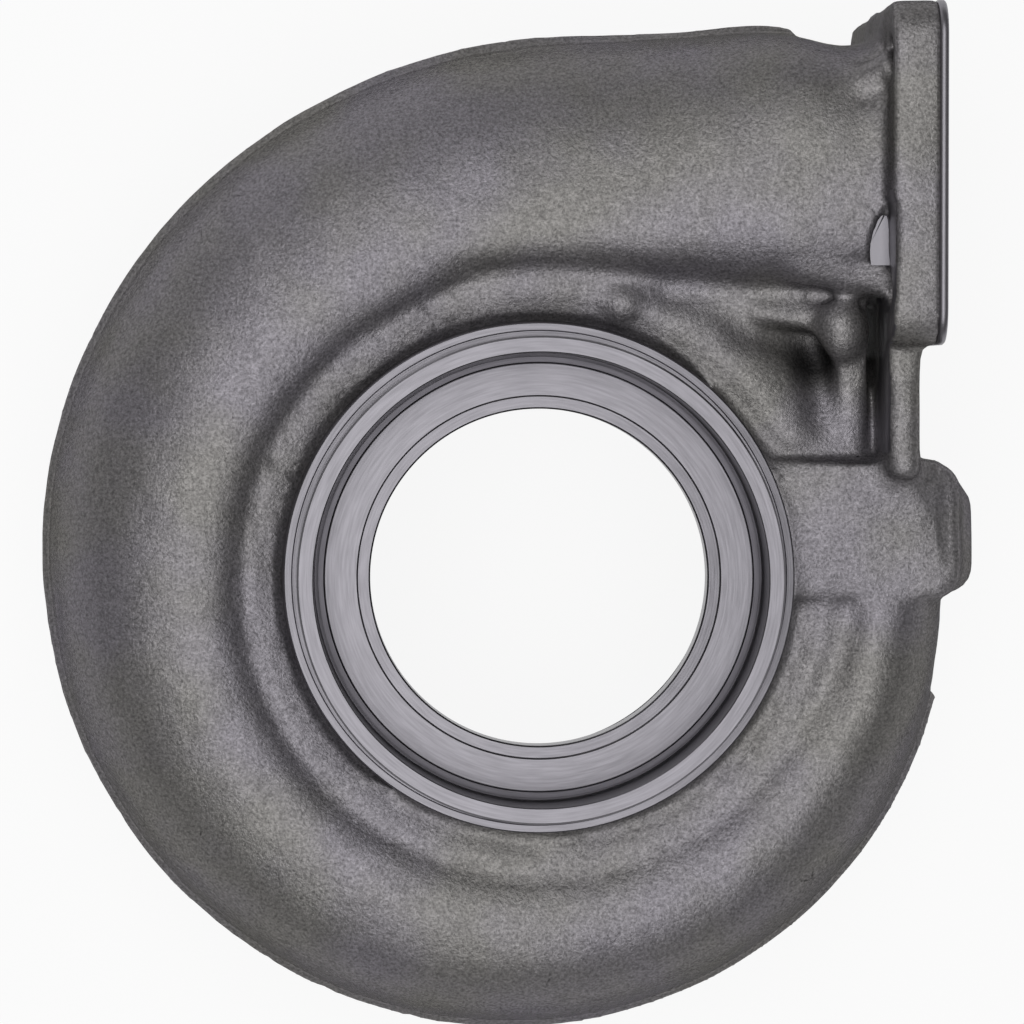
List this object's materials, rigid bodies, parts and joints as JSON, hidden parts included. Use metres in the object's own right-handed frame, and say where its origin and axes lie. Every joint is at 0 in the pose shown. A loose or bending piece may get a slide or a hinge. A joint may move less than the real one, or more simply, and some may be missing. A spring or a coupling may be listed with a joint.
{
  "type": "turbocharger turbine housing",
  "caption": "Cast iron twin-passage turbine housing with a divided rectangular inlet flange, a spiral volute, a turned outlet ring and a turned bearing flange.",
  "frame": {"origin": "middle of the bearing flange face, on the turbine axis", "axes": "+Z along the turbine axis towards the exhaust outlet, +X out of the inlet flange"},
  "size_m": [0.2881, 0.3169, 0.1285],
  "materials": {
    "cast_iron": "shot-blasted casting with turned and milled faces"
  },
  "bodies": {
    "root": {"turbine_housing": "cast_iron"}
  },
  "joints": []
}
